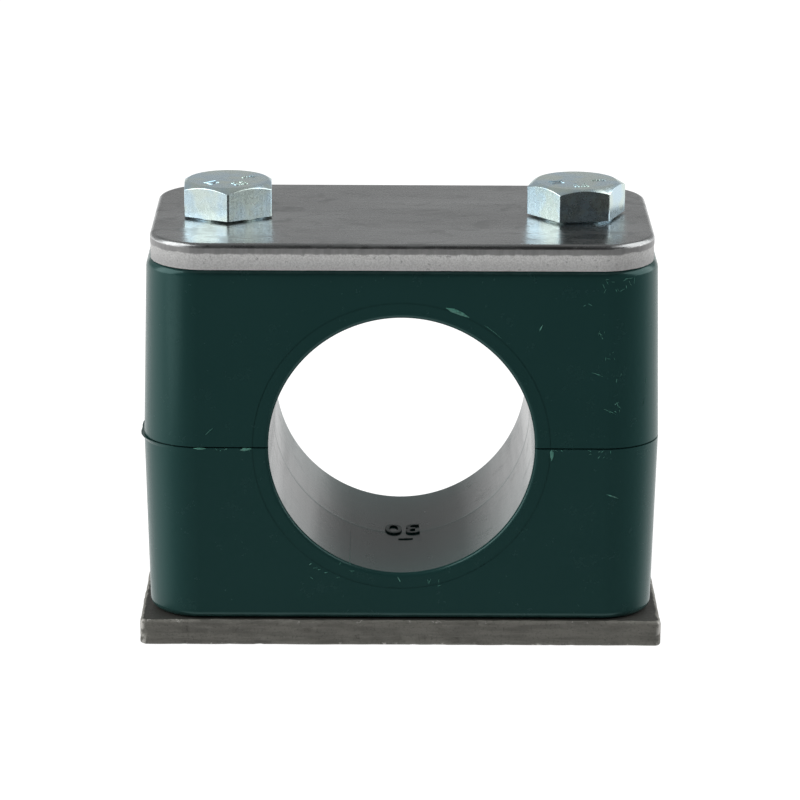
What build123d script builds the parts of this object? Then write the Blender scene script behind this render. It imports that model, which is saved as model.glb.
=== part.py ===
from build123d import *
from math import radians, tan
import os

# Single tube clamp in two moulded halves: a weld plate with two tapped collars underneath, the halves
# around the tube, a cover plate on top, and two hexagon bolts that pass through the stack.
# Millimetres. Origin: centre of the weld plate's underside. +X along the row of bolts, +Y along the
# tube, +Z up from the weld plate to the bolt heads. Closed, with no tube held.

# --- tube and moulded halves ---------------------------------------------------------------------
TUBE_DIAMETER = 30.0        # outside of the tube, and so the bore of the closed halves
CROWN_WALL = 5.7            # plastic above and below the bore, at its thinnest
BOLT_WALL = 1.7             # plastic between the bore and each bolt hole
END_MARGIN = 9.45           # from a bolt's axis to the end of the halves, at the parting plane
BODY_DEPTH = 30.0           # along the tube, at the parting plane
BODY_CORNER_RADIUS = 6.5    # upright corners
BODY_RIM_RADIUS = 0.9       # round of the rim that meets a plate
DRAFT = 1.4                 # degrees, all round from the parting plane
BORE_EDGE = 0.2             # chamfer at the mouths of the bore

# --- bolts: hexagon head, metric coarse thread -----------------------------------------------------
THREAD_DIAMETER = 6.0
THREAD_PITCH = 1.0
THREAD_LENGTH = 18.0
THREAD_POINT = 0.8          # height of the chamfer at the tip
TIP_ENTRY = 0.6             # how far the tip stands below the top of the weld plate
HEAD_ACROSS_FLATS = 10.0
HEAD_HEIGHT = 4.0           # with its washer face
HEAD_CHAMFER = 30.0         # degrees, of the cone that rounds the head's corners
HEAD_CROWN = 0.94           # diameter of the head's flat top, as a share of the width across flats
WASHER_FACE_HEIGHT = 0.25
WASHER_FACE_DIAMETER = 8.9
HEAD_ROOT = 0.25            # where the shank widens into the head
LEFT_HEAD_TURN = 32.0       # degrees, how each head came to rest when tightened
RIGHT_HEAD_TURN = 8.6

# --- cover plate: blanked from strip, its upper edge drawn down ------------------------------------
COVER_THICKNESS = 3.0
COVER_INSET = 0.95          # shorter than the halves by this at each end
COVER_CORNER_RADIUS = 6.5
COVER_ROLL = 0.35           # bevel that stands for the rolled edge

# --- weld plate: flat bar with two drawn and tapped collars ----------------------------------------
WELD_THICKNESS = 3.0
WELD_MARGIN = 0.55          # longer than the halves by this at each end
WELD_CORNER_RADIUS = 0.6
WELD_EDGE = 0.2
COLLAR_DIAMETER = 10.0
COLLAR_HEIGHT = 3.5
COLLAR_ROOT = 0.6           # fillet where the collar rises from the plate
COLLAR_LIP = 0.3            # round of the collar's top
COLLAR_DRAW = 0.9           # drawn-in round under each collar
TAP_LEAD = 0.35             # chamfer where the bolt enters the thread

# --- clearances ------------------------------------------------------------------------------------
HALF_HOLE_GAP = 0.3         # bolt in a moulded half, on the radius
COVER_HOLE_GAP = 0.5        # bolt in the cover plate, on the radius
THREAD_GAP = 0.05           # plain thread stand-ins, on the radius
COLLAR_GAP = 0.4            # collar in its recess, on the radius
COLLAR_HEADROOM = 0.5       # above the collar

# --- worked out from the above ---------------------------------------------------------------------
bore_radius = TUBE_DIAMETER / 2
bolt_radius = THREAD_DIAMETER / 2
half_hole_radius = bolt_radius + HALF_HOLE_GAP
cover_hole_radius = bolt_radius + COVER_HOLE_GAP
thread_depth = THREAD_PITCH * 0.3248            # from the crest to the pitch line of a metric thread
thread_radius = bolt_radius - thread_depth
bolt_x = bore_radius + BOLT_WALL + half_hole_radius
body_length = 2 * (bolt_x + END_MARGIN)
half_height = bore_radius + CROWN_WALL
cover_length = body_length - 2 * COVER_INSET
weld_length = body_length + 2 * WELD_MARGIN
parting_z = WELD_THICKNESS + half_height
cover_z = parting_z + half_height
head_z = cover_z + COVER_THICKNESS
tip_z = WELD_THICKNESS - TIP_ENTRY
bolt_length = head_z - tip_z


def at_both_bolts(tool):
    """The tool, drawn on the Z axis, repeated at both bolt places."""
    return [Pos(side * bolt_x, 0, 0) * tool for side in (-1, 1)]


def moulded_half():
    """One half, its parting face in the XY plane and its outer face up. Both halves come from one mould."""
    outline = RectangleRounded(body_length, BODY_DEPTH, BODY_CORNER_RADIUS)
    block = extrude(outline, half_height, taper=DRAFT)
    block = fillet(block.faces().sort_by(Axis.Z)[-1].edges(), BODY_RIM_RADIUS)

    block -= Rot(90, 0, 0) * Cylinder(bore_radius, 2 * BODY_DEPTH)
    bore_wall = block.faces().filter_by(GeomType.CYLINDER).sort_by(lambda face: face.area)[-1]
    mouths = bore_wall.edges().filter_by(lambda edge: edge.bounding_box().max.Z > bore_radius / 2)
    block = chamfer(mouths, BORE_EDGE)

    block -= at_both_bolts(Pos(0, 0, half_height / 2) * Cylinder(half_hole_radius, 2 * half_height))
    recess_depth = COLLAR_HEIGHT + COLLAR_HEADROOM
    recess = Cylinder(COLLAR_DIAMETER / 2 + COLLAR_GAP, recess_depth,
                      align=(Align.CENTER, Align.CENTER, Align.MAX))
    return block - at_both_bolts(Pos(0, 0, half_height) * recess)


def hexagon_head():
    """The head on the XY plane, its washer face down and its upper corners cut by a cone."""
    crown_radius = HEAD_CROWN * HEAD_ACROSS_FLATS / 2
    corner_radius = HEAD_ACROSS_FLATS / 3 ** 0.5
    cone_drop = (corner_radius - crown_radius) * tan(radians(HEAD_CHAMFER))
    prism = Pos(0, 0, WASHER_FACE_HEIGHT) * extrude(
        RegularPolygon(HEAD_ACROSS_FLATS / 2, 6, major_radius=False),
        HEAD_HEIGHT - WASHER_FACE_HEIGHT)
    with BuildPart() as turned:
        with BuildSketch(Plane.XZ):
            Polygon((0, 0), (corner_radius, 0), (corner_radius, HEAD_HEIGHT - cone_drop),
                    (crown_radius, HEAD_HEIGHT), (0, HEAD_HEIGHT), align=None)
        revolve(axis=Axis.Z)
    washer_face = Cylinder(WASHER_FACE_DIAMETER / 2, WASHER_FACE_HEIGHT,
                           align=(Align.CENTER, Align.CENTER, Align.MIN))
    return (prism & turned.part) + washer_face


def bolt_stem():
    """Shank and thread below the XY plane, the thread as a plain cylinder at its pitch diameter."""
    point_radius = thread_radius - THREAD_POINT / 2
    with BuildPart() as turned:
        with BuildSketch(Plane.XZ):
            Polygon((0, 0), (bolt_radius + HEAD_ROOT, 0), (bolt_radius, -HEAD_ROOT),
                    (bolt_radius, THREAD_LENGTH + thread_depth - bolt_length),
                    (thread_radius, THREAD_LENGTH - bolt_length),
                    (thread_radius, THREAD_POINT - bolt_length),
                    (point_radius, -bolt_length), (0, -bolt_length), align=None)
        revolve(axis=Axis.Z)
    return turned.part


def bolt(side, head_turn):
    """A whole bolt in its place, tightened down on the cover plate."""
    return Pos(side * bolt_x, 0, head_z) * Rot(0, 0, head_turn) * (hexagon_head() + bolt_stem())


def cover_plate():
    """Blanked plate on top, with its edge rolled over on the upper side."""
    plate = Pos(0, 0, cover_z) * extrude(
        RectangleRounded(cover_length, BODY_DEPTH, COVER_CORNER_RADIUS), COVER_THICKNESS)
    plate = chamfer(plate.faces().sort_by(Axis.Z)[-1].edges(), COVER_ROLL)
    holes = at_both_bolts(Pos(0, 0, cover_z) * Cylinder(cover_hole_radius, 4 * COVER_THICKNESS))
    return plate - holes


def weld_plate():
    """Flat bar below, with a tapped collar drawn up under each bolt."""
    plate = extrude(RectangleRounded(weld_length, BODY_DEPTH, WELD_CORNER_RADIUS), WELD_THICKNESS)
    flats = plate.faces().sort_by(Axis.Z)
    plate = chamfer(flats[0].edges() + flats[-1].edges(), WELD_EDGE)
    collar_top = WELD_THICKNESS + COLLAR_HEIGHT
    collar = Cylinder(COLLAR_DIAMETER / 2, collar_top, align=(Align.CENTER, Align.CENTER, Align.MIN))
    tap = Cylinder(thread_radius + THREAD_GAP, 4 * collar_top)
    plate += at_both_bolts(collar)
    plate -= at_both_bolts(tap)

    circles = plate.edges().filter_by(GeomType.CIRCLE)

    def ring(height, radius):
        return circles.filter_by(lambda edge: abs(edge.center().Z - height) < 1e-4
                                 and abs(edge.radius - radius) < 1e-4)

    plate = fillet(ring(WELD_THICKNESS, COLLAR_DIAMETER / 2), COLLAR_ROOT)
    plate = fillet(ring(collar_top, COLLAR_DIAMETER / 2), COLLAR_LIP)
    plate = fillet(ring(0, thread_radius + THREAD_GAP), COLLAR_DRAW)
    return chamfer(ring(collar_top, thread_radius + THREAD_GAP), TAP_LEAD)


half = moulded_half()
pieces = {
    "weld_plate": weld_plate(),
    "clamp_half_lower": Pos(0, 0, parting_z) * Rot(180, 0, 0) * half,
    "clamp_half_upper": Pos(0, 0, parting_z) * half,
    "cover_plate": cover_plate(),
    "bolt_left": bolt(-1, LEFT_HEAD_TURN),
    "bolt_right": bolt(1, RIGHT_HEAD_TURN),
}

os.makedirs("parts", exist_ok=True)
for name, piece in pieces.items():
    export_step(piece, f"parts/{name}.step")
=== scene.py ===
import random
from math import ceil, cos, floor, pi, radians, sin, sqrt, tan

import bmesh
import bpy
from bpy.props import FloatProperty, FloatVectorProperty, PointerProperty, StringProperty
from bpy.types import Operator, Panel, PropertyGroup
from mathutils import Matrix, Vector, noise
from mathutils.bvhtree import BVHTree


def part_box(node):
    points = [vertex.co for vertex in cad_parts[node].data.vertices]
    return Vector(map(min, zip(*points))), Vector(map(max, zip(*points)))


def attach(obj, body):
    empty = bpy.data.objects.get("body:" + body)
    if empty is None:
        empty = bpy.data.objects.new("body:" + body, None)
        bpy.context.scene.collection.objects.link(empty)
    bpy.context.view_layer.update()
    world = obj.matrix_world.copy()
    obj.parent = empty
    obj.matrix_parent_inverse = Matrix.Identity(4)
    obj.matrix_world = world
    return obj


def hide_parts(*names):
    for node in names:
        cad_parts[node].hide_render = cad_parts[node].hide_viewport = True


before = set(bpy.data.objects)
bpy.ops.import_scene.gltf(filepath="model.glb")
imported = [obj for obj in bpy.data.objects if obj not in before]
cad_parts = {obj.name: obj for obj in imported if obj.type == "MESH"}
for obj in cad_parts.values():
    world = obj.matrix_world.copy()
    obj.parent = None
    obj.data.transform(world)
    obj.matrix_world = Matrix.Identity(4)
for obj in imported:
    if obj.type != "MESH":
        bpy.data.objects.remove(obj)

bl_info = {
    "name": "Hydraulic Tube Clamp",
    "version": (1, 0, 0),
    "blender": (4, 5, 0),
    "location": "View3D > Sidebar > Tube Clamp",
    "description": "A tube clamp in two moulded halves on a weld plate, with its cover plate and bolts",
    "category": "Add Mesh",
}

# Meshes are drawn in millimetres and scaled once, when a piece is finished.
MM = 0.001
ARC_STEPS = 20          # facets in a quarter turn of an upright corner
BORE_STEPS = 192        # facets round the bore and the rings at its mouths
HOLE_STEPS = 64         # facets round a hole or a collar
BOLT_STEPS = 96         # facets round a bolt
THREAD_STEPS = 40       # facets in one turn of a thread
SHARP_ANGLE = radians(28)

# Vertices this close are merged: when turned, after a cut and in a figure.
MERGE, CUT_MERGE, FIGURE_MERGE = 1e-4, 5e-4, 1e-5
CAPITAL_SHARE = 0.7     # height of a figure as a share of its size


def box_mm(node):
    """Lowest and highest corner of a CAD node, in millimetres."""
    return tuple(Vector(corner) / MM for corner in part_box(node))


HALF_LOW, HALF_HIGH = box_mm("clamp_half_upper")
COVER_LOW, COVER_HIGH = box_mm("cover_plate")
WELD_LOW, WELD_HIGH = box_mm("weld_plate")
BOLT_LOW, BOLT_HIGH = box_mm("bolt_right")
PARTING_Z = HALF_LOW.z
HEAD_Z = COVER_HIGH.z
BOLT_X = round((BOLT_LOW.x + BOLT_HIGH.x) / 2, 1)


# --- sizes and colours ---


def size(name, description, millimetres, **limits):
    return FloatProperty(name=name, description=description, default=millimetres * MM,
                         precision=5, subtype="DISTANCE", unit="LENGTH", **(limits or {"min": 0}))


def angle(name, description, degrees):
    return FloatProperty(name=name, description=description, default=radians(degrees),
                         precision=3, subtype="ANGLE", unit="ROTATION")


def colour(name, description, value):
    return FloatVectorProperty(name=name, description=description, default=value, size=3,
                               min=0, max=1, subtype="COLOR")


class HalvesSettings(PropertyGroup):
    length: size("Length", "Along the row of bolts, at the parting plane",
                 HALF_HIGH.x - HALF_LOW.x)
    depth: size("Depth", "Along the tube, at the parting plane", HALF_HIGH.y - HALF_LOW.y)
    height: size("Height", "Height of one half", HALF_HIGH.z - HALF_LOW.z)
    bore_radius: size("Bore radius", "Radius of the tube seat", 15.0)
    corner_radius: size("Corner radius", "Radius of the upright corners", 6.5)
    rim_radius: size("Rim radius", "Round of the rim that meets a plate", 0.9)
    draft: angle("Draft", "Taper of the outer walls", 1.4)
    mouth_round: size("Mouth round", "Round at the mouths of the bore", 0.5)
    parting_relief: size("Parting relief", "How far the outer edge stands back at the parting face", 0.09)
    numeral: StringProperty(name="Numeral", description="Raised tube size in the bore", default="30")
    flash: size("Flash", "How far the lip of flash stands out at the left end", 0.36)
    colour: colour("Colour", "Colour of the moulded plastic", (0.0165, 0.058, 0.0545))
    torn_colour: colour("Torn colour", "Colour of the plastic where it is torn or scratched",
                        (0.10, 0.35, 0.275))


class CoverSettings(PropertyGroup):
    corner_radius: size("Corner radius", "Radius of the upright corners", 6.5)
    roll: size("Edge roll", "Round of the upper edge", 0.52)
    fracture: size("Fracture band", "Height of the rough band on the sheared edge", 1.85)
    hole_radius: size("Hole radius", "Radius of the bolt holes", 3.5)
    colour: colour("Colour", "Colour of the brushed steel", (0.36, 0.372, 0.374))


class WeldSettings(PropertyGroup):
    thickness: size("Thickness", "Thickness of the flat bar", 3.0)
    corner_radius: size("Corner radius", "Radius of the upright corners", 0.8)
    upper_edge: size("Upper edge", "Round of the upper edge", 0.45)
    lower_edge: size("Lower edge", "Round of the lower edge", 0.3)
    collar_radius: size("Collar radius", "Outer radius of the drawn collars", 5.0)
    colour: colour("Colour", "Colour of the phosphated steel", (0.208, 0.204, 0.181))


class BoltSettings(PropertyGroup):
    radius: size("Radius", "Radius of shank and thread crest", 3.0)
    pitch: size("Pitch", "Rise of the thread in one turn", 1.0)
    thread_length: size("Thread length", "Length of the threaded end", 18.0)
    across_flats: size("Across flats", "Width of the hexagon head", 10.0)
    chamfer: angle("Head chamfer", "Slope of the cone that cuts the head's corners", 30.0)
    crown: size("Crown radius", "Radius of the flat top of the head", 4.7)
    washer_face: size("Washer face", "Height of the round face under the head", 0.25)
    left_turn: angle("Left head turn", "How the left head came to rest", 32.0)
    right_turn: angle("Right head turn", "How the right head came to rest", 8.6)
    colour: colour("Colour", "Colour of the zinc coat", (0.72, 0.864, 0.88))


class StudioSettings(PropertyGroup):
    lens: FloatProperty(name="Lens", description="Focal length of the camera", default=166.3,
                        subtype="DISTANCE_CAMERA", unit="CAMERA")
    pitch: angle("Pitch", "How far the camera looks down", 16.328)
    yaw: angle("Yaw", "How far the camera looks to the right", 0.242)
    roll: angle("Roll", "How far the camera leans", 0.298)
    distance: size("Distance", "From the camera to the middle of the clamp", 431.788)
    target_x: size("Aim across", "Where the camera aims, along X", -0.133, min=-1)
    target_z: size("Aim height", "Where the camera aims, along Z", 25.018)


# --- mesh helpers ---


def face_outwards(bm):
    bmesh.ops.recalc_face_normals(bm, faces=bm.faces)


def turned(profile, steps=HOLE_STEPS):
    """A solid turned on the Z axis from (radius, height) points, closed on the axis or as a ring."""
    bm = bmesh.new()
    verts = [bm.verts.new((radius, 0, height)) for radius, height in profile]
    edges = [bm.edges.new(pair) for pair in zip(verts, verts[1:])]
    if profile[0][0] > 0:
        edges.append(bm.edges.new((verts[-1], verts[0])))
    bmesh.ops.spin(bm, geom=verts + edges, cent=(0, 0, 0), axis=(0, 0, 1), dvec=(0, 0, 0),
                   angle=2 * pi, steps=steps, use_merge=True, use_duplicate=False)
    bmesh.ops.remove_doubles(bm, verts=bm.verts, dist=MERGE)
    face_outwards(bm)
    return bm


def quarter_turn(steps):
    """The angles that cut a quarter turn into equal steps, both ends included."""
    return [step / steps * pi / 2 for step in range(steps + 1)]


def moved(bm, matrix):
    """The same bmesh in another place, its faces still pointing outwards."""
    bmesh.ops.transform(bm, matrix=matrix, verts=bm.verts)
    if matrix.determinant() < 0:
        bmesh.ops.reverse_faces(bm, faces=bm.faces)
    return bm


def at(x, y, z):
    return Matrix.Translation((x, y, z))


def over_bolt(bm, side):
    """Moves a bmesh to the axis of the left (-1) or right (1) bolt."""
    return moved(bm, at(side * BOLT_X, 0, 0))


def round_edges(bm, edges, width, steps, clamp=False):
    bmesh.ops.bevel(bm, geom=edges, offset=width, offset_type="OFFSET", segments=steps, profile=0.5,
                    affect="EDGES", material=-1, clamp_overlap=clamp)


def rounded_block(length, depth, height, radius, steps):
    """A block on the XY plane with its four upright edges rounded."""
    bm = bmesh.new()
    bmesh.ops.create_cube(bm, size=1)
    moved(bm, Matrix.Diagonal((length, depth, height, 1)) @ at(0, 0, 0.5))
    upright = [e for e in bm.edges if abs(e.verts[0].co.z - e.verts[1].co.z) > height / 2]
    round_edges(bm, upright, radius, steps)
    return bm


def walled_block(length, depth, radius, steps, pitch, levels):
    """A plate with rounded corners whose walls are cut into short facets, a ring at each level."""
    bm = rounded_block(length, depth, 1, radius, steps)
    bmesh.ops.delete(bm, geom=[v for v in bm.verts if v.co.z > 0.5], context="VERTS")
    bmesh.ops.delete(bm, geom=bm.faces[:], context="FACES_ONLY")
    for straight in {round(e.calc_length(), 2) for e in bm.edges}:
        if straight > 2 * pitch:
            edges = [e for e in bm.edges if abs(e.calc_length() - straight) < 0.02]
            bmesh.ops.subdivide_edges(bm, edges=edges, cuts=int(straight / pitch))
    ring = bm.edges[:]
    bmesh.ops.edgeloop_fill(bm, edges=ring)
    bmesh.ops.translate(bm, vec=(0, 0, levels[0]), verts=bm.verts)
    for low, high in zip(levels, levels[1:]):
        grown = bmesh.ops.extrude_edge_only(bm, edges=ring)["geom"]
        verts = {v for v in grown if isinstance(v, bmesh.types.BMVert)}
        bmesh.ops.translate(bm, vec=(0, 0, high - low), verts=list(verts))
        ring = [e for e in grown if isinstance(e, bmesh.types.BMEdge) and set(e.verts) <= verts]
    bmesh.ops.edgeloop_fill(bm, edges=ring)
    face_outwards(bm)
    return bm


def level_face(bm, top):
    """The flat face at the top or bottom of a block."""
    faces = [f for f in bm.faces if abs(f.normal.z) > 0.999]
    pick = max if top else min
    return pick(faces, key=lambda f: f.calc_center_median().z)


def linked(name, data):
    obj = bpy.data.objects.new(name, data)
    bpy.context.scene.collection.objects.link(obj)
    return obj


def meshed(name, bm):
    """A mesh made from a bmesh, which is used up."""
    mesh = bpy.data.meshes.new(name)
    bm.to_mesh(mesh)
    bm.free()
    return mesh


def evaluated(obj):
    """A bmesh of an object after its modifiers."""
    seen = obj.evaluated_get(bpy.context.evaluated_depsgraph_get())
    mesh = bpy.data.meshes.new_from_object(seen)
    bm = bmesh.new()
    bm.from_mesh(mesh)
    bpy.data.meshes.remove(mesh)
    return bm


def combined(bm, tools, operation="DIFFERENCE"):
    """The solid after each tool in turn is cut from it, joined to it or kept in common with it."""
    solid, *cutters = [linked("draft", meshed("draft", part)) for part in (bm, *tools)]
    for cutter in cutters:
        boolean = solid.modifiers.new("tool", "BOOLEAN")
        boolean.object, boolean.operation, boolean.solver = cutter, operation, "EXACT"
    result = evaluated(solid)
    for obj in (solid, *cutters):
        mesh = obj.data
        bpy.data.objects.remove(obj)
        bpy.data.meshes.remove(mesh)
    bmesh.ops.remove_doubles(result, verts=result.verts, dist=CUT_MERGE)
    bmesh.ops.dissolve_degenerate(result, edges=result.edges, dist=CUT_MERGE)
    result.normal_update()
    return result


def join(bm, other):
    """Adds the faces of another bmesh, which is used up."""
    mesh = meshed("draft", other)
    bm.from_mesh(mesh)
    bpy.data.meshes.remove(mesh)


def strip(rows):
    """A closed bar drawn through rings of points, its ends flat."""
    bm = bmesh.new()
    first = face = bm.faces.new([bm.verts.new(point) for point in rows[0]])
    for row in rows[1:]:
        grown = bmesh.ops.extrude_face_region(bm, geom=[face])["geom"]
        if face is not first:
            bmesh.ops.delete(bm, geom=[face], context="FACES_ONLY")
        face = next(part for part in grown if isinstance(part, bmesh.types.BMFace))
        for vert, point in zip(face.verts, row):
            vert.co = point
    face_outwards(bm)
    return bm


def lettering(text, height, thickness, bold):
    """A closed mesh of raised figures, centred on the origin and standing on the XY plane."""
    curve = bpy.data.curves.new("figures", "FONT")
    curve.body, curve.align_x, curve.align_y = text, "CENTER", "CENTER"
    curve.size, curve.extrude, curve.resolution_u = height / CAPITAL_SHARE, thickness / 2, 4
    curve.offset = bold
    obj = linked("figures", curve)
    bm = evaluated(obj)
    bpy.data.objects.remove(obj)
    bpy.data.curves.remove(curve)
    bmesh.ops.remove_doubles(bm, verts=bm.verts, dist=FIGURE_MERGE)
    face_outwards(bm)
    return moved(bm, at(0, 0, thickness / 2))


def piece(name, bm, materials, body, node):
    """Finishes a piece: to metres, smooth with sharp edges, dressed and hung on its CAD body."""
    bmesh.ops.scale(bm, vec=(MM, MM, MM), verts=bm.verts)
    mesh = meshed(name, bm)
    for material in materials:
        mesh.materials.append(material)
    mesh.shade_smooth()
    mesh.set_sharp_from_angle(angle=SHARP_ANGLE)
    obj = linked(name, mesh)
    weighted = obj.modifiers.new("Weighted normals", "WEIGHTED_NORMAL")
    weighted.keep_sharp = True
    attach(obj, body)
    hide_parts(node)
    return obj


# --- material helpers ---


def shade(base, factor):
    return tuple(factor * c for c in base)


def tinted(base, tint):
    return tuple(c * share for c, share in zip(base, tint))


def feed(tree, socket, value):
    """Links another node's output to a socket, or sets a plain value."""
    if isinstance(value, bpy.types.NodeSocket):
        tree.links.new(value, socket)
    else:
        socket.default_value = value


def add_node(tree, kind, inputs=(), **settings):
    """A node whose inputs are values or other nodes' outputs, by name or number."""
    new = tree.nodes.new("ShaderNode" + kind)
    for setting, value in settings.items():
        setattr(new, setting, value)
    for key, value in dict(inputs).items():
        feed(tree, new.inputs[key], value)
    return new


class Finish:
    """A node material with a Principled shader, built one node at a time."""

    def __init__(self, name, **sockets):
        self.material = bpy.data.materials.new(name)
        self.material.use_nodes = True
        self.tree = self.material.node_tree
        self.shader = self.tree.nodes["Principled BSDF"]
        self.object = self.tree.nodes.new("ShaderNodeTexCoord").outputs["Object"]
        self.set(**sockets)

    def set(self, **sockets):
        """Fills inputs of the shader, named with underscores for spaces."""
        for socket, value in sockets.items():
            feed(self.tree, self.shader.inputs[socket.replace("_", " ")], value)
        return self.material

    def add(self, kind, inputs, **settings):
        return add_node(self.tree, kind, inputs, **settings).outputs[0]

    def noise(self, scale, detail=3.0, stretch=(1, 1, 1), roughness=0.5, distortion=0.0):
        """Noise from 0 to 1, its scale in turns per millimetre and stretched along the axes."""
        place = self.add("Mapping", {"Vector": self.object,
                                     "Scale": tuple(scale * s / MM for s in stretch)})
        return self.add("TexNoise", {"Vector": place, "Scale": 1.0, "Detail": detail,
                                     "Roughness": roughness, "Distortion": distortion})

    def along(self, axis):
        """Place along one axis of the object, in metres."""
        return add_node(self.tree, "SeparateXYZ", {"Vector": self.object}).outputs[axis]

    def ramp(self, value, low, high, at_low=0.0, at_high=1.0):
        return self.add("MapRange", {"Value": value, "From Min": low, "From Max": high,
                                     "To Min": at_low, "To Max": at_high},
                        interpolation_type="SMOOTHSTEP")

    def ends(self, axis, start, end):
        """0 near the middle of an axis and 1 near both of its ends, changing from start to end."""
        return self.ramp(self.math("ABSOLUTE", self.along(axis)), start * MM, end * MM)

    def math(self, operation, a, b=0.0):
        return self.add("Math", {0: a, 1: b}, operation=operation)

    def plus(self, a, b):
        return self.math("ADD", a, b)

    def minus(self, a, b):
        return self.math("SUBTRACT", a, b)

    def times(self, a, b):
        return self.math("MULTIPLY", a, b)

    def blend(self, share, a, b):
        """Colour a where the share is 0 and colour b where it is 1."""
        a, b = ((*value, 1) if isinstance(value, tuple) else value for value in (a, b))
        return add_node(self.tree, "Mix", {0: share, 6: a, 7: b}, data_type="RGBA").outputs[2]

    def bump(self, height, depth, before=None):
        """A bump whose full height is the depth in millimetres."""
        inputs = {"Strength": 1.0, "Distance": depth * MM, "Height": height}
        if before:
            inputs["Normal"] = before
        return self.add("Bump", inputs)


# --- materials ---

PLASTIC_IOR = 1.49
RAGGED = 0.5                # height over which the top of the fracture band strays
FACE_SHADE_DEPTH = 0.06          # depth of the painted shade on the upper and lower faces of the weld plate


def plastic_finish(settings, name, smooth, rough, tint=(1, 1, 1), bands=0.0):
    """Moulded plastic, speckled from smooth to rough and scuffed, with any bands along Y."""
    base = tuple(settings.colour)
    pale = tuple(1.35 * c + 0.004 for c in base)
    look = Finish(name, IOR=PLASTIC_IOR, Specular_Tint=(*tint, 1))
    cloud = look.noise(0.09, detail=4)
    speckle = look.noise(2.2, detail=2)
    scuff = look.ramp(look.noise(0.35, detail=6, roughness=0.65), 0.52, 0.72)
    peel = look.noise(0.9, detail=2)
    grain = look.noise(5.0, detail=2)
    colour = look.blend(look.times(cloud, 0.35), base, pale)
    roughness = look.plus(look.ramp(speckle, 0.3, 0.7, smooth, rough), look.times(scuff, 0.06))
    if bands:
        drawn = look.noise(0.22, detail=3, stretch=(1, 0.06, 1))
        roughness = look.plus(roughness, look.ramp(drawn, 0.38, 0.62, 0.0, bands))
    normal = look.bump(grain, 0.0015, look.bump(peel, 0.006))
    return look.set(Base_Color=colour, Roughness=roughness, Normal=normal)


def torn_finish(settings):
    """Plastic that is torn or scratched, pale and crumbled."""
    base = tuple(settings.torn_colour)
    look = Finish("torn_plastic", IOR=PLASTIC_IOR)
    crumb = look.noise(3.0, detail=3)
    colour = look.blend(look.ramp(crumb, 0.35, 0.65), shade(base, 0.6), base)
    rough = look.ramp(crumb, 0.3, 0.7, 0.45, 0.6)
    return look.set(Base_Color=colour, Roughness=rough, Normal=look.bump(crumb, 0.02))


def brushed_finish(settings, high):
    """Steel brushed along X, clouded and stained, and paler low on its rolled edge."""
    base = tuple(settings.colour)
    look = Finish("brushed_steel", Metallic=1.0, Anisotropic=0.4)
    brush = look.noise(3.2, detail=4, stretch=(0.02, 1, 1), roughness=0.7)
    broad = look.noise(0.16, detail=3, stretch=(0.3, 1, 1))
    stain = look.noise(0.4, detail=6, stretch=(0.7, 1, 1), roughness=0.65, distortion=0.6)
    colour = look.blend(look.ramp(brush, 0.35, 0.65), shade(base, 0.85), base)
    colour = look.blend(look.ramp(broad, 0.4, 0.66, 0.0, 0.7), colour, shade(base, 1.25))
    colour = look.blend(look.ramp(stain, 0.48, 0.70, 0.0, 0.65), colour, shade(base, 0.65))
    rim = look.ramp(look.along("Z"), (high.z - 0.54) * MM, (high.z - 0.30) * MM, 1.0, 0.0)
    flecks = look.ramp(look.noise(1.3, detail=4, roughness=0.7), 0.48, 0.60, 0.4, 1.0)
    colour = look.blend(look.times(rim, flecks), colour, (0.75, 0.75, 0.75))
    rough = look.plus(look.ramp(brush, 0.3, 0.7, 0.22, 0.28), look.ramp(stain, 0.45, 0.7, 0.0, 0.10))
    rough = look.plus(rough, look.times(rim, 0.15))
    return look.set(Base_Color=colour, Roughness=rough, Normal=look.bump(brush, 0.0025))


def sheared_finish(settings, low, high):
    """The edge of a blanked plate: a rough pale fracture, partly brightened as painted light, below a
    burnished band, with painted shade at both ends.
    """
    look = Finish("sheared_steel")
    ragged = look.times(look.minus(look.noise(0.8, detail=3), 0.5), RAGGED * MM)
    level = look.plus(look.along("Z"), ragged)
    edge = (low.z + settings.fracture / MM) * MM
    burnished = look.ramp(level, edge - 0.1 * MM, edge + 0.12 * MM)
    grit = look.noise(5.5, detail=3, roughness=0.6)
    streak = look.noise(2.0, detail=3, stretch=(1, 1, 0.08))
    # the fracture's own pale grey, brightened towards white as painted light
    broken = look.blend(look.ramp(grit, 0.35, 0.65), (0.76, 0.76, 0.75), (1.0, 1.0, 0.99))
    pits = look.ramp(look.noise(1.7, detail=3, roughness=0.6), 0.63, 0.70, 0.0, 0.5)
    broken = look.blend(pits, broken, (0.2, 0.2, 0.2))
    foot = look.ramp(level, (low.z + 0.2) * MM, edge, 0.4, 0.0)
    broken = look.blend(foot, broken, (0.4, 0.4, 0.4))
    rubbed = look.blend(look.ramp(streak, 0.35, 0.65), (0.41, 0.41, 0.41), (0.49, 0.49, 0.49))
    colour = look.blend(burnished, broken, rubbed)
    # painted shade: the edge darkened round both ends of the plate
    ends = look.ends("X", high.x - 7, high.x - 1)
    colour = look.blend(look.times(ends, 0.42), colour, (0.05, 0.05, 0.05))
    rough = look.ramp(burnished, 0, 1, 0.6, 0.34)
    normal = look.bump(look.times(grit, look.minus(1.0, burnished)), 0.06)
    return look.set(Base_Color=colour, Roughness=rough, Normal=normal, Metallic=look.times(burnished, 0.35))


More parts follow.
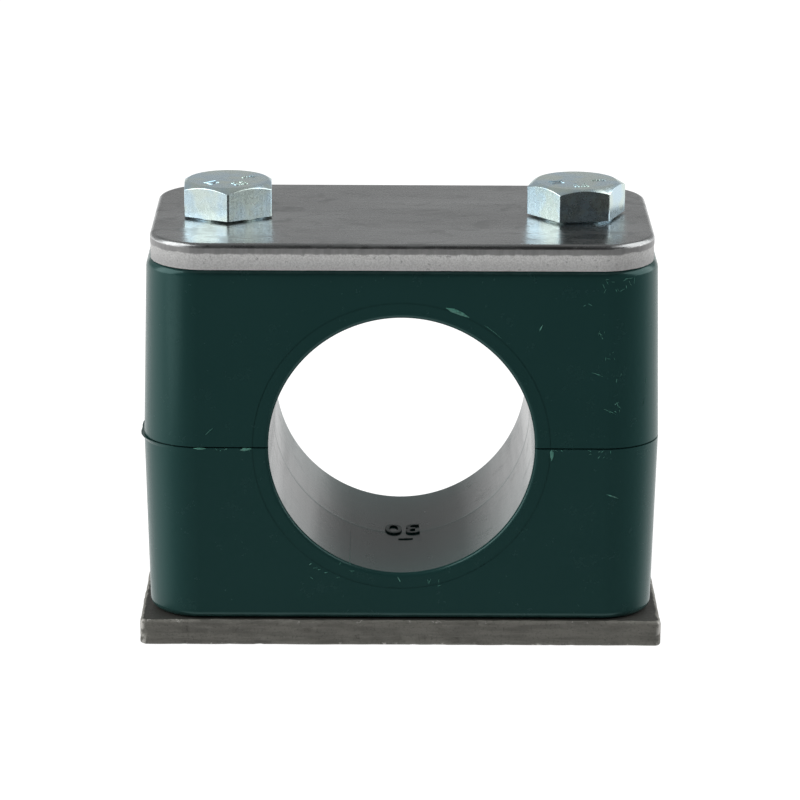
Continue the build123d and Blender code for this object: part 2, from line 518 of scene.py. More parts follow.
def phosphate_finish(settings):
    """Phosphated steel with painted shade on its upper and lower faces, worn to pale chips along its edges
    and corners.
    """
    base = tuple(settings.colour)
    look = Finish("phosphated_steel", Metallic=0.1)
    cloud = look.noise(0.25, detail=5, roughness=0.6)
    fine = look.noise(3.5, detail=3, roughness=0.6)
    drag = look.noise(1.6, detail=5, stretch=(0.12, 0.12, 1), roughness=0.7)
    colour = look.blend(look.ramp(cloud, 0.35, 0.65), shade(base, 0.8), base)
    colour = look.blend(look.ramp(drag, 0.38, 0.62, 0.0, 0.8), colour, shade(base, 1.3))
    colour = look.blend(look.ramp(fine, 0.52, 0.72, 0.0, 0.6), colour, shade(base, 0.5))
    middle = settings.thickness / 2
    off = look.math("ABSOLUTE", look.minus(look.along("Z"), middle))
    # painted shade: the bar's upper and lower faces, and the collars above them, darkened
    rolled = look.ramp(off, middle - FACE_SHADE_DEPTH * MM, middle - 0.01 * MM)
    colour = look.blend(rolled, colour, shade(base, 0.27))
    edges = look.times(look.ramp(off, middle - 0.4 * MM, middle - 0.2 * MM), look.minus(1.0, rolled))
    corners = look.times(look.ends("X", WELD_HIGH.x - 0.8, WELD_HIGH.x - 0.3),
                         look.ends("Y", WELD_HIGH.y - 0.8, WELD_HIGH.y - 0.3))
    chips = look.noise(0.8, detail=4, roughness=0.7)
    worn = look.math("MAXIMUM", look.times(edges, look.ramp(chips, 0.58, 0.66)),
                     look.times(corners, look.ramp(chips, 0.46, 0.54)))
    colour = look.blend(worn, colour, (0.62, 0.61, 0.57))
    rough = look.ramp(fine, 0.3, 0.7, 0.48, 0.62)
    normal = look.bump(fine, 0.03, look.bump(drag, 0.07))
    return look.set(Base_Color=colour, Roughness=rough, Normal=normal)


def zinc_finish(settings):
    """Bright zinc, clouded from warm to cold and drawn along Z."""
    base = tuple(settings.colour)
    look = Finish("bright_zinc", Metallic=1.0)
    cloud = look.noise(0.35, detail=2)
    drawn = look.noise(2.5, detail=3, stretch=(1, 1, 0.15))
    fine = look.noise(1.5, detail=2)
    warm, cold = tinted(base, (1.05, 1.02, 0.95)), tinted(base, (0.92, 0.98, 1.07))
    colour = look.blend(look.ramp(cloud, 0.38, 0.62), warm, cold)
    colour = look.blend(look.ramp(drawn, 0.5, 0.8, 0.0, 0.3), colour, shade(base, 0.8))
    rough = look.ramp(fine, 0.3, 0.7, 0.24, 0.30)
    return look.set(Base_Color=colour, Roughness=rough, Normal=look.bump(drawn, 0.008))


# --- the moulded halves ---

HALF_HOLE_RADIUS = 3.3
RECESS_RADIUS, RECESS_DEPTH = 5.4, 4.0
BORE_RELIEF = 0.07          # how much the bore's radius grows from mid depth to its mouths
SEAM_HEIGHT = 0.022         # of the mould line round the bore at mid depth
SEAM_CREST, SEAM_FOOT = 0.1, 0.5        # half widths of the mould line
RELIEF_WIDTH = 0.6          # of the outer edge that stands back at the parting face
WITNESS_RADIUS, WITNESS_WIDTH, WITNESS_DEPTH = 16.85, 0.1, 0.03     # faint ring round each mouth
NUMERAL_FONT = (3.3, 0.24, 0.02)        # height, thickness and boldness
NUMERAL_PLACE, NUMERAL_SHAPE = (0.3, -0.7, 0), (0.95, 1, 1, 1)
BAR_PLACE, BAR_SHAPE = (0.6, 2.4, 0.07), (1.7, 0.25, 0.14, 1)
NUMERAL_SUNK = 0.05         # how deep the numeral and its bar are set into the bore
BORE_FACES, TORN_FACES, FIGURE_FACES = 1, 2, 3

FLASH_START = radians(26)   # how far round the corner, from the front, the lip of flash starts
FLASH_STRAIGHT = 5.5        # how far it runs on along the left end
FLASH_STEPS = 45

# Torn bits on the front walls: x and z of the middle, length, lean in degrees and width.
LOWER_BITS = (
    (-27.5, 23.5, 2.5, 2, 0.15), (-22.8, 23.6, 1.4, 0, 0.35), (-17.6, 23.5, 1.3, 8, 0.5),
    (17, 23, 1.4, -88, 0.5), (24, 18, 1.5, -22, 0.2), (-0.2, 7.9, 0.7, -60, 0.2),
)
UPPER_BITS = (
    (6.2, 39.5, 2.8, -22, 0.6), (10.2, 37.3, 2.5, -38, 0.1), (-21.7, 25.6, 1.2, 45, 0.1),
    (22, 32.4, 1.4, -20, 0.14), (23.4, 28.1, 1.7, -24, 0.12), (15.6, 37.8, 0.8, 65, 0.2),
    (26, 43.2, 1, 85, 0.1), (27.4, 28.8, 0.8, 80, 0.1), (27.6, 31.3, 0.7, 85, 0.08),
)
# Patches of fine scratches: x and z of the middle, half width, half height and how many.
LOWER_PATCHES = (
    (-8, 9, 2.5, 1, 10), (4, 7.4, 1, 0.4, 4), (22.6, 23, 1.4, 0.4, 5), (-21, 23.5, 4, 0.1, 5),
    (20, 23.5, 5, 0.1, 6),
)
UPPER_PATCHES = (
    (24, 30.5, 0.7, 2.5, 8), (23.4, 34.5, 0.6, 0.7, 5), (22.4, 37, 0.5, 0.4, 5),
    (24, 42.6, 1.6, 1.2, 14), (20.8, 40.3, 0.4, 0.6, 2),
)
SCRATCH_LENGTH, SCRATCH_LEAN, SCRATCH_WIDTH = (0.25, 0.6), (-90, 90), (0.07, 0.14)
# Places along a torn bit or scratch, and how broad it is there, as shares of its length and width.
STROKE_OUTLINE = ((-0.5, 0.25), (-0.18, 1.0), (0.18, 0.85), (0.5, 0.2))
STROKE_BEND = 0.1
STROKE_SUNK = 0.03


def drafted_block(sizes):
    """The block of one half, parting face on the XY plane, before its bore and holes."""
    height, relief = sizes.height / MM, sizes.parting_relief / MM
    bm = rounded_block(sizes.length / MM, sizes.depth / MM, relief, sizes.corner_radius / MM, ARC_STEPS)
    rise = height - relief
    bmesh.ops.inset_region(bm, faces=[level_face(bm, True)], thickness=rise * tan(sizes.draft),
                           depth=rise, use_even_offset=True, use_boundary=True)
    round_edges(bm, level_face(bm, True).edges[:], sizes.rim_radius / MM, 6)
    land = level_face(bm, False)
    bmesh.ops.inset_region(bm, faces=[land], thickness=RELIEF_WIDTH, depth=0,
                           use_even_offset=True, use_boundary=True)
    low = {v for v in bm.verts if abs(v.co.z) < 1e-6} - set(land.verts)
    bmesh.ops.translate(bm, vec=(0, 0, relief), verts=list(low))
    bmesh.ops.remove_doubles(bm, verts=bm.verts, dist=MERGE)
    face_outwards(bm)
    return bm


def bore_tool(sizes):
    """The bore along Y, twice as long as the half, which leaves the mould line standing."""
    bore, reach = sizes.bore_radius / MM, sizes.depth / MM
    wide, crest, foot = bore + 2 * BORE_RELIEF, bore - SEAM_HEIGHT, bore + 0.002
    outline = [(0, -reach), (wide, -reach), (foot, -SEAM_FOOT), (crest, -SEAM_CREST),
               (crest, SEAM_CREST), (foot, SEAM_FOOT), (wide, reach), (0, reach)]
    return moved(turned(outline, BORE_STEPS), Matrix.Rotation(-pi / 2, 4, "X"))


def bolt_hole_tool(height):
    """A bolt hole and the recess that clears a collar."""
    floor_z = height - RECESS_DEPTH
    return turned([(0, -1), (HALF_HOLE_RADIUS, -1), (HALF_HOLE_RADIUS, floor_z),
                   (RECESS_RADIUS, floor_z), (RECESS_RADIUS, height + 1), (0, height + 1)])


def witness_tool(sizes, side):
    """The faint ring round one mouth of the bore, laid on the drafted wall."""
    inner, outer = WITNESS_RADIUS - WITNESS_WIDTH / 2, WITNESS_RADIUS + WITNESS_WIDTH / 2
    ring = turned([(inner, -WITNESS_DEPTH), (outer, -WITNESS_DEPTH), (outer, 1), (inner, 1)], BORE_STEPS)
    wall = at(0, side * (sizes.depth / MM) / 2, 0)
    return moved(ring, wall @ Matrix.Rotation(side * (sizes.draft - pi / 2), 4, "X"))


def off_bore(place, bore):
    """How far a place lies from the surface of the bore."""
    return abs(sqrt(place.x ** 2 + place.z ** 2) - bore)


def round_mouths(bm, sizes):
    bore, relief = sizes.bore_radius / MM, sizes.parting_relief / MM

    def on_mouth(v):
        wall = sizes.depth / MM / 2 - (v.co.z - relief) * tan(sizes.draft)
        return off_bore(v.co, bore) < 0.1 and abs(abs(v.co.y) - wall) < 0.02

    mouths = [e for e in bm.edges if all(map(on_mouth, e.verts)) and e.calc_length() < 1
              and len(e.link_faces) == 2 and e.calc_face_angle(0) > radians(60)]
    round_edges(bm, mouths, sizes.mouth_round / MM, 5)
    face_outwards(bm)


def bore_numeral(sizes):
    """The raised tube size with its bar, wrapped on the crown of the bore."""
    bore = sizes.bore_radius / MM
    figures = lettering(sizes.numeral, *NUMERAL_FONT)
    moved(figures, at(*NUMERAL_PLACE) @ Matrix.Rotation(pi, 4, "Z") @ Matrix.Diagonal(NUMERAL_SHAPE))
    bar = bmesh.new()
    bmesh.ops.create_cube(bar, size=1, matrix=at(*BAR_PLACE) @ Matrix.Diagonal(BAR_SHAPE))
    join(figures, bar)
    for v in figures.verts:
        radius, turn = bore + NUMERAL_SUNK - v.co.z, v.co.x / bore
        v.co = Vector((radius * sin(turn), v.co.y, radius * cos(turn)))
    face_outwards(figures)
    for f in figures.faces:
        f.material_index = FIGURE_FACES
    return figures


def moulded_half(sizes):
    """One half, parting face on the XY plane and outer face up."""
    tools = [bore_tool(sizes)]
    tools += [over_bolt(bolt_hole_tool(sizes.height / MM), side) for side in (-1, 1)]
    tools += [witness_tool(sizes, side) for side in (-1, 1)]
    bm = combined(drafted_block(sizes), tools)
    round_mouths(bm, sizes)
    for f in bm.faces:
        if off_bore(f.calc_center_median(), sizes.bore_radius / MM) < 0.09 and abs(f.normal.y) < 0.05:
            f.material_index = BORE_FACES
    join(bm, bore_numeral(sizes))
    return bm


def flash_lip(sizes):
    """The lip of plastic squeezed out along the left end of the lower half's parting edge."""
    radius = sizes.corner_radius / MM
    middle = Vector((radius - sizes.length / MM / 2, radius - sizes.depth / MM / 2, 0))
    arc = radius * (pi / 2 - FLASH_START)
    whole = arc + FLASH_STRAIGHT
    top, rows = PARTING_Z - 0.03, []
    for step in range(FLASH_STEPS + 1):
        run = whole * step / FLASH_STEPS
        turn = min(FLASH_START + run / radius, pi / 2)
        out = Vector((-sin(turn), -cos(turn), 0))
        foot = middle + out * radius + Vector((0, max(0, run - arc), 0))
        proud = sizes.flash / MM * min(1, run / 6, (whole - run) / 1.5)
        proud = max(0.01, proud * (1 + 0.12 * noise.noise(foot * 1.1)))
        section = ((-0.2, 0), (proud, 0), (0.7 * proud, -0.13), (-0.05, -0.5))
        rows.append([foot + out * away + Vector((0, 0, top + rise)) for away, rise in section])
    return strip(rows)


def stroke(x, z, length, lean, width):
    """A slightly bent line of points for one torn bit or scratch, fine at both ends."""
    turn = radians(lean)
    row = []
    for share, breadth in STROKE_OUTLINE:
        bend = STROKE_BEND * length * (0.25 - share ** 2)
        row.append((x + length * share * cos(turn) - bend * sin(turn),
                    z + length * share * sin(turn) + bend * cos(turn), width * breadth))
    return row


def front_wear(bits, patches, seed):
    """All the strokes of one front wall: the torn bits, then the scratches of each patch."""
    draw = random.Random(seed)
    marks = [stroke(*bit) for bit in bits]
    for x, z, wide, high, count in patches:
        for _ in range(count):
            marks.append(stroke(draw.uniform(x - wide, x + wide), draw.uniform(z - high, z + high),
                                draw.uniform(*SCRATCH_LENGTH), draw.uniform(*SCRATCH_LEAN),
                                draw.uniform(*SCRATCH_WIDTH)))
    return marks


def add_marks(bm, marks, highest):
    """Lays each torn bit and scratch on the front wall as a low closed ridge."""
    wall = BVHTree.FromBMesh(bm)
    for mark in marks:
        spots = [(*wall.ray_cast(Vector((x, -40, min(z, highest))), Vector((0, 1, 0)))[:2], width)
                 for x, z, width in mark]
        rows = []
        for index, (place, normal, width) in enumerate(spots):
            ahead = spots[min(index + 1, len(spots) - 1)][0] - spots[max(index - 1, 0)][0]
            side = normal.cross(ahead).normalized() * width / 2
            sunk, raised = normal * STROKE_SUNK, normal * (0.02 + 0.15 * width)
            rows.append([place - side - sunk, place + raised, place + side - sunk])
            for point in rows[-1]:
                point.z = min(point.z, highest + 0.1)
        ridge = strip(rows)
        for f in ridge.faces:
            f.material_index = TORN_FACES
        join(bm, ridge)


class BuildHalves(Operator):
    """Builds both moulded halves, which come from one mould"""
    bl_idname = "tube_clamp.moulded_halves"
    bl_label = "Moulded Halves"

    def execute(self, context):
        settings = context.scene.clamp_halves
        plastics = [
            plastic_finish(settings, "moulded_plastic", smooth=0.21, rough=0.26, tint=(0.6, 1, 0.96)),
            plastic_finish(settings, "bore_plastic", smooth=0.12, rough=0.15, bands=0.11),
            torn_finish(settings),
            plastic_finish(settings, "figure_plastic", smooth=0.42, rough=0.48),
        ]
        lower = moved(moulded_half(settings), at(0, 0, PARTING_Z) @ Matrix.Rotation(pi, 4, "X"))
        add_marks(lower, front_wear(LOWER_BITS, LOWER_PATCHES, seed=3), PARTING_Z - 0.12)
        join(lower, flash_lip(settings))
        piece("moulded_half_lower", lower, plastics, "base", "clamp_half_lower")
        upper = moved(moulded_half(settings), at(0, 0, PARTING_Z))
        add_marks(upper, front_wear(UPPER_BITS, UPPER_PATCHES, seed=5), HALF_HIGH.z - 1)
        piece("moulded_half_upper", upper, plastics, "cap", "clamp_half_upper")
        return {"FINISHED"}


# --- the cover plate ---

FRACTURE_RINGS = 7
FRACTURE_BACK, FRACTURE_WAVE = 0.05, 0.04       # how far the rough band stands back and varies


def cover_plate(sizes):
    """The plate, rolled at its upper edge and broken off unevenly below."""
    length, depth = COVER_HIGH.x - COVER_LOW.x, COVER_HIGH.y - COVER_LOW.y
    height = COVER_HIGH.z - COVER_LOW.z
    fracture = sizes.fracture / MM
    levels = [fracture * step / FRACTURE_RINGS for step in range(FRACTURE_RINGS + 1)] + [height]
    bm = walled_block(length, depth, sizes.corner_radius / MM, ARC_STEPS, 0.3, levels)
    round_edges(bm, level_face(bm, True).edges[:], sizes.roll / MM, 5)
    bm.normal_update()
    for v in bm.verts:
        if v.co.z < fracture - 0.01:
            out = Vector((v.normal.x, v.normal.y, 0)).normalized()
            chip = noise.noise(v.co * 1.3) + 0.6 * noise.noise(v.co * 3.1)
            v.co -= out * (FRACTURE_BACK + FRACTURE_WAVE * chip)
    radius = sizes.hole_radius / MM
    hole = [(0, -1), (radius, -1), (radius, height + 1), (0, height + 1)]
    bm = combined(bm, [over_bolt(turned(hole), side) for side in (-1, 1)])
    for f in bm.faces:
        rolled = f.calc_center_median().z > height - sizes.roll / MM and f.normal.z > 0.12
        f.material_index = 0 if rolled or abs(f.normal.z) > 0.9 else 1
    return moved(bm, at(0, 0, COVER_LOW.z))


class BuildCover(Operator):
    """Builds the blanked cover plate"""
    bl_idname = "tube_clamp.cover_plate"
    bl_label = "Cover Plate"

    def execute(self, context):
        settings = context.scene.clamp_cover
        steels = [brushed_finish(settings, COVER_HIGH), sheared_finish(settings, COVER_LOW, COVER_HIGH)]
        piece("cover_blank", cover_plate(settings), steels, "cap", "cover_plate")
        return {"FINISHED"}


# --- the thread ---


def threaded_rod(crest, root, pitch, low, high):
    """A rod with a right-hand thread, cut square at both ends."""
    first = floor(low / pitch) * pitch - pitch
    turns = ceil((high - first) / pitch) + 1
    bm = bmesh.new()
    profile = ((root, 0), (root, 0.25), (crest, 0.5625), (crest, 0.6875), (root, 1))
    verts = [bm.verts.new((radius, 0, first + rise * pitch)) for radius, rise in profile]
    edges = [bm.edges.new(pair) for pair in zip(verts, verts[1:])]
    bmesh.ops.spin(bm, geom=verts + edges, cent=(0, 0, 0), axis=(0, 0, 1),
                   dvec=(0, 0, pitch / THREAD_STEPS), angle=2 * pi * turns,
                   steps=THREAD_STEPS * turns, use_merge=False, use_duplicate=False)
    bmesh.ops.remove_doubles(bm, verts=bm.verts, dist=MERGE)
    for level, outward in ((low, -1), (high, 1)):
        geometry = bm.verts[:] + bm.edges[:] + bm.faces[:]
        bmesh.ops.bisect_plane(bm, geom=geometry, dist=1e-5, plane_co=(0, 0, level),
                               plane_no=(0, 0, outward), clear_outer=True)
    bmesh.ops.holes_fill(bm, edges=[e for e in bm.edges if e.is_boundary], sides=0)
    face_outwards(bm)
    return bm


# --- the weld plate ---

TOP_ROUND, FOOT_ROUND = 0.3, 0.6        # of a collar
DRAW_ROUND = 0.9            # of the hole's mouth on the underside, where the collar is drawn up
THREAD_PLAY = 0.05
WALL_BACK, WALL_SWAY, WALL_PITS, WALL_NICKS = 0.1, 0.07, 0.05, 0.5      # depths of the wear on the walls


def wear_walls(bm, thick):
    """Sways, pits and nicks the walls of the bar, and nicks its upper edge."""
    bm.normal_update()
    for v in bm.verts:
        out = Vector((v.normal.x, v.normal.y, 0))
        if out.length > 0.05:
            sway = noise.noise(Vector((v.co.x, v.co.y, v.co.z * 0.5)) * 0.3)
            pit = noise.noise(Vector((v.co.x * 0.5, v.co.y * 0.5, v.co.z * 1.6)))
            nick = max(0, noise.noise(v.co * 0.9 + Vector((9, 3, 5))) - 0.28)
            v.co -= out.normalized() * (WALL_BACK + WALL_SWAY * sway + WALL_PITS * pit + WALL_NICKS * nick)
        if thick - 0.3 < v.co.z < thick - 0.001:
            v.co.z -= max(0, 0.25 * noise.noise(v.co * 0.8 + Vector((4, 1, 7))) - 0.02)


def flat_bar(sizes):
    length, depth = WELD_HIGH.x - WELD_LOW.x, WELD_HIGH.y - WELD_LOW.y
    thick = sizes.thickness / MM
    low, high = 1.5 * sizes.lower_edge / MM, thick - 1.2 * sizes.upper_edge / MM
    levels = [0, *(low + (high - low) * step / 5 for step in range(6)), thick]
    bm = walled_block(length, depth, sizes.corner_radius / MM, 5, 0.4, levels)
    for upper, width in ((True, sizes.upper_edge / MM), (False, sizes.lower_edge / MM)):
        round_edges(bm, level_face(bm, upper).edges[:], width, 4)
    wear_walls(bm, thick)
    return bm


def collar(sizes):
    """One collar, still solid, from the middle of the bar's thickness to its top."""
    outer, thick, top = sizes.collar_radius / MM, sizes.thickness / MM, WELD_HIGH.z
    outline = [(0, thick / 2), (outer + FOOT_ROUND, thick / 2)]
    outline += [(outer + FOOT_ROUND * (1 - sin(turn)), thick - 0.01 + FOOT_ROUND * (1 - cos(turn)))
                for turn in quarter_turn(6)]
    outline += [(outer - TOP_ROUND * (1 - cos(turn)), top - TOP_ROUND * (1 - sin(turn)))
                for turn in quarter_turn(4)]
    return turned([*outline, (0, top)])


def tapping_tools(bolt_sizes):
    """The thread of one collar, the round mouth below it and the bevel above it."""
    crest, pitch, top = bolt_sizes.radius / MM + THREAD_PLAY, bolt_sizes.pitch / MM, WELD_HIGH.z
    thread = threaded_rod(crest, crest - 0.6 * pitch, pitch, -1, top + 1)
    mouth = DRAW_ROUND
    below = [(0, -1), (crest + mouth, -1), (crest + mouth, 0)]
    below += [(crest + mouth * (1 - sin(turn)), mouth * (1 - cos(turn))) for turn in quarter_turn(4)[1:4]]
    below += [(crest - 0.3, mouth), (0, mouth)]
    above = [(0, top - 0.5), (crest - 0.4, top - 0.5), (crest + 0.2, top + 0.1),
             (crest + 0.2, top + 1), (0, top + 1)]
    return thread, turned(below), turned(above)


def weld_plate(sizes, bolt_sizes):
    bm = combined(flat_bar(sizes), [over_bolt(collar(sizes), side) for side in (-1, 1)], "UNION")
    return combined(bm, [over_bolt(tool, side) for side in (-1, 1) for tool in tapping_tools(bolt_sizes)])


class BuildWeldPlate(Operator):
    """Builds the weld plate with its two tapped collars"""
    bl_idname = "tube_clamp.weld_plate"
    bl_label = "Weld Plate"

    def execute(self, context):
        settings = context.scene.clamp_weld
        piece("weld_bar", weld_plate(settings, context.scene.clamp_bolts), [phosphate_finish(settings)],
              "base", "weld_plate")
        return {"FINISHED"}


# --- the bolts ---

HEAD_FIGURES = (("8.8", 0), ("12", -78), ("3", 84))      # text, degrees round from the front
FIGURE_FONT = (1.6, 0.145, 0.03)
FIGURE_SHAPE = (0.65, 1, 1, 1)
FIGURE_OUT, FIGURE_SUNK = 2.6, 0.1      # from the bolt's axis, and into the top of the head
HEAD_CORNER_ROUND, HEAD_EDGE_ROUND = 0.16, 0.05
CROWN_WIDTH, CROWN_DROP = 0.12, 0.03    # of the bevel round the flat top
WASHER_RADIUS, WASHER_ROUND = 4.45, 0.05
UNDERHEAD = 0.25            # of the bevel between shank and head
ROOT_DEPTH = 0.61           # of the thread, as a share of its pitch


def hexagon_head(sizes):
    """The hexagon, its corners cut by a cone, above a washer face on the XY plane."""
    flats, height, crown = sizes.across_flats / MM, BOLT_HIGH.z - HEAD_Z, sizes.crown / MM
    face = sizes.washer_face / MM
    corner = flats / sqrt(3)
    prism = bmesh.new()
    bmesh.ops.create_cone(prism, cap_ends=True, cap_tris=False, segments=6, radius1=corner,
                          radius2=corner, depth=height - face)
    moved(prism, Matrix.Rotation(pi / 6, 4, "Z") @ at(0, 0, (height + face) / 2))
    drop = (corner + 1 - crown) * tan(sizes.chamfer)
    cone = turned([(0, -1), (corner + 1, -1), (corner + 1, height - drop), (crown, height - CROWN_DROP),
                   (crown - CROWN_WIDTH, height), (0, height)], BOLT_STEPS)
    head = combined(prism, [cone], "INTERSECT")
    for upright, width in ((True, HEAD_CORNER_ROUND), (False, HEAD_EDGE_ROUND)):
        edges = [e for e in head.edges
                 if len(e.link_faces) == 2 and e.calc_face_angle(0) > radians(35)
                 and (abs(e.verts[0].co.z - e.verts[1].co.z) > 0.9 * e.calc_length()) == upright]
        round_edges(head, edges, width, 3, clamp=True)
    return head


def plain_shank(sizes, thread_top):
    """The bare shank, from the thread up to the washer face."""
    radius, face = sizes.radius / MM, sizes.washer_face / MM
    return turned([(0, thread_top - 0.6), (radius - 0.7, thread_top - 0.6), (radius, thread_top + 0.1),
                   (radius, -UNDERHEAD), (radius + UNDERHEAD, 0), (WASHER_RADIUS - WASHER_ROUND, 0),
                   (WASHER_RADIUS, WASHER_ROUND), (WASHER_RADIUS, face + 0.1), (0, face + 0.1)], BOLT_STEPS)


def threaded_end(sizes, tip, thread_top):
    radius, pitch = sizes.radius / MM, sizes.pitch / MM
    rod = threaded_rod(radius - 0.02, radius - ROOT_DEPTH * pitch, pitch, tip + HEAD_Z - 0.5,
                       thread_top + HEAD_Z - 0.1)
    moved(rod, at(0, 0, -HEAD_Z))
    envelope = turned([(0, tip), (radius - 0.85, tip), (radius + 0.1, tip + 0.95),
                       (radius + 0.1, thread_top), (0, thread_top)], BOLT_STEPS)
    return combined(rod, [envelope], "INTERSECT")


def bolt(sizes, side, turn):
    """One bolt in its place, its head turned as it came to rest."""
    tip = BOLT_LOW.z - HEAD_Z
    thread_top = tip + sizes.thread_length / MM
    head, rod = hexagon_head(sizes), threaded_end(sizes, tip, thread_top)
    bm = combined(head, [plain_shank(sizes, thread_top), rod], "UNION")
    for text, degrees in HEAD_FIGURES:
        figures = lettering(text, *FIGURE_FONT)
        stand = at(0, -FIGURE_OUT, BOLT_HIGH.z - HEAD_Z - FIGURE_SUNK) @ Matrix.Diagonal(FIGURE_SHAPE)
        join(bm, moved(figures, Matrix.Rotation(radians(degrees), 4, "Z") @ stand))
    return moved(bm, at(side * BOLT_X, 0, HEAD_Z) @ Matrix.Rotation(turn, 4, "Z"))


class BuildBolts(Operator):
    """Builds both hexagon bolts"""
    bl_idname = "tube_clamp.bolts"
    bl_label = "Bolts"

    def execute(self, context):
        settings = context.scene.clamp_bolts
        zinc = zinc_finish(settings)
        piece("hexagon_bolt_left", bolt(settings, -1, settings.left_turn), [zinc], "left_bolt",
              "bolt_left")
        piece("hexagon_bolt_right", bolt(settings, 1, settings.right_turn), [zinc], "right_bolt",
              "bolt_right")
        return {"FINISHED"}


# --- the studio ---

# Each lamp's name, place, aim, width, height and radiance, in metres.
LAMPS = (
    ("softbox_left", (-0.5, -0.15, 0.34), (0, -0.15, 0.02), 0.58, 0.7, 2.6),
    ("softbox_right", (0.5, 0.03, 0.34), (0, -0.04, 0.02), 0.72, 0.7, 2.08),
    ("card_left", (-0.176, -0.119, 0.001), (-0.176, -0.119, 1), 0.11, 0.11, 1.0),
)
# Brightness of the studio's lower part, from the camera's side (0) to the far side (1).
AROUND = ((0.0, 0.04), (0.2, 0.09), (0.37, 0.24), (0.5, 0.57), (0.62, 0.8), (0.84, 0.92), (0.95, 1.0))
FAR_SIDE = (-0.24, 0.971, 0)
FLOOR_REACH, FLOOR_GLOW, FLOOR_GREY = 3, 0.96, (0.2, 0.2, 0.2, 1)


def soft_lamp(name, place, aim, width, height, radiance):
    """A rectangular lamp, turned towards its aim and unseen by the camera."""
    light = bpy.data.lights.new(name, "AREA")
    light.shape, light.size, light.size_y = "RECTANGLE", width, height
    light.energy = radiance * pi * width * height
    lamp = linked(name, light)
    lamp.location = place
    lamp.rotation_euler = (Vector(aim) - Vector(place)).to_track_quat("-Z", "Y").to_euler()
    lamp.visible_camera = False


def studio_world():
    """A studio that the camera sees white, and that is dark above and on the camera's side."""
    world = bpy.data.worlds.new("studio")
    world.use_nodes = True
    tree = world.node_tree

    def add(kind, inputs=(), **settings):
        return add_node(tree, kind, inputs, **settings).outputs

    def fade(value, low, high, at_low, at_high):
        return add("MapRange", {"Value": value, "From Min": low, "From Max": high, "To Min": at_low,
                                "To Max": at_high}, interpolation_type="SMOOTHSTEP")[0]

    toward = add("TexCoord")["Generated"]
    rise = add("SeparateXYZ", {0: toward})["Z"]
    away = add("VectorMath", {0: toward, 1: FAR_SIDE}, operation="DOT_PRODUCT")["Value"]
    along = add("MapRange", {"Value": away, "From Min": -1.0, "From Max": 1.0})[0]
    around = add("ValToRGB", {"Fac": along})[0]
    stops = around.node.color_ramp.elements
    while len(stops) < len(AROUND):
        stops.new(0.5)
    for stop, (place, level) in zip(stops, AROUND):
        stop.position, stop.color = place, (level, level, level, 1)
    above, below = fade(rise, 0.09, 0.14, 1.0, 0.36), fade(rise, -0.62, -0.42, 0.85, 0.0)
    studio = add("Math", {0: around, 1: above}, operation="MULTIPLY")[0]
    studio = add("Math", {0: studio, 1: below}, operation="MAXIMUM")[0]
    path = add("LightPath")
    seen = add("Math", {0: path["Is Camera Ray"], 1: path["Is Transmission Ray"]}, operation="MAXIMUM")[0]
    strength = add("Math", {0: seen, 1: studio}, operation="MAXIMUM")[0]
    background = tree.nodes["Background"].inputs
    feed(tree, background["Strength"], strength)
    feed(tree, background["Color"], (1, 1, 1, 1))
    bpy.context.scene.world = world


def floor_finish():
    """White, and a little darker where the clamp shades it."""
    material = bpy.data.materials.new("studio_floor")
    material.use_nodes = True
    tree = material.node_tree
    tree.nodes.remove(tree.nodes["Principled BSDF"])
    glow = add_node(tree, "Emission", {"Strength": FLOOR_GLOW})
    matt = add_node(tree, "BsdfDiffuse", {"Color": FLOOR_GREY})
    both = add_node(tree, "AddShader", {0: glow.outputs[0], 1: matt.outputs[0]})
    feed(tree, tree.nodes["Material Output"].inputs["Surface"], both.outputs[0])
    return material


def studio_floor():
    """A floor that the clamp doesn't mirror and that doesn't shade it."""
    bm = bmesh.new()
    bmesh.ops.create_grid(bm, x_segments=1, y_segments=1, size=FLOOR_REACH)
    mesh = meshed("studio_floor", bm)
    mesh.materials.append(floor_finish())
    floor_object = linked("studio_floor", mesh)
    floor_object.visible_diffuse = floor_object.visible_glossy = floor_object.visible_shadow = False


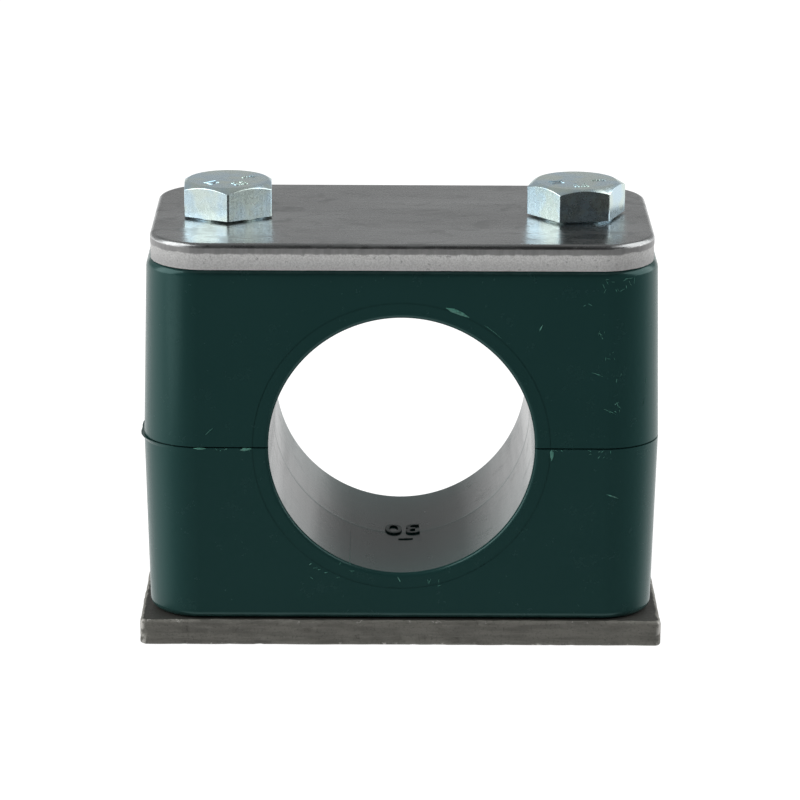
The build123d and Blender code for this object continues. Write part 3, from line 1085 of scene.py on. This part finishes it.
def studio_camera(settings):
    camera = linked("camera", bpy.data.cameras.new("camera"))
    camera.data.lens = settings.lens
    turn = (Matrix.Rotation(-settings.yaw, 4, "Z") @ Matrix.Rotation(pi / 2 - settings.pitch, 4, "X")
            @ Matrix.Rotation(settings.roll, 4, "Z"))
    backward = turn @ Vector((0, 0, 1))
    place = Vector((settings.target_x, 0, settings.target_z)) + backward * settings.distance
    camera.matrix_world = Matrix.Translation(place) @ turn
    bpy.context.scene.camera = camera


class BuildStudio(Operator):
    """Sets up the floor, the light and the camera"""
    bl_idname = "tube_clamp.studio"
    bl_label = "Studio"

    def execute(self, context):
        context.scene.view_settings.view_transform = "Standard"
        studio_floor()
        studio_world()
        for lamp in LAMPS:
            soft_lamp(*lamp)
        studio_camera(context.scene.clamp_studio)
        return {"FINISHED"}


class ClampPanel(Panel):
    """Lists the pieces of the clamp and their sizes"""
    bl_idname = "VIEW3D_PT_tube_clamp"
    bl_label = "Tube Clamp"
    bl_space_type = "VIEW_3D"
    bl_region_type = "UI"
    bl_category = "Tube Clamp"

    def draw(self, context):
        for group, settings, operators in GROUPS:
            box = self.layout.box()
            for key in settings.__annotations__:
                box.prop(getattr(context.scene, group), key)
            for operator in operators:
                box.operator(operator.bl_idname)


GROUPS = (
    ("clamp_halves", HalvesSettings, (BuildHalves,)),
    ("clamp_cover", CoverSettings, (BuildCover,)),
    ("clamp_weld", WeldSettings, (BuildWeldPlate,)),
    ("clamp_bolts", BoltSettings, (BuildBolts,)),
    ("clamp_studio", StudioSettings, (BuildStudio,)),
)


def register():
    for group, settings, operators in GROUPS:
        bpy.utils.register_class(settings)
        setattr(bpy.types.Scene, group, PointerProperty(type=settings))
        for operator in operators:
            bpy.utils.register_class(operator)
    bpy.utils.register_class(ClampPanel)


def unregister():
    bpy.utils.unregister_class(ClampPanel)
    for group, settings, operators in reversed(GROUPS):
        for operator in operators:
            bpy.utils.unregister_class(operator)
        delattr(bpy.types.Scene, group)
        bpy.utils.unregister_class(settings)


def main():
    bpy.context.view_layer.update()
    register()
    bpy.ops.tube_clamp.studio()
    bpy.ops.tube_clamp.moulded_halves()
    bpy.ops.tube_clamp.cover_plate()
    bpy.ops.tube_clamp.weld_plate()
    bpy.ops.tube_clamp.bolts()


if __name__ == "__main__":
    main()
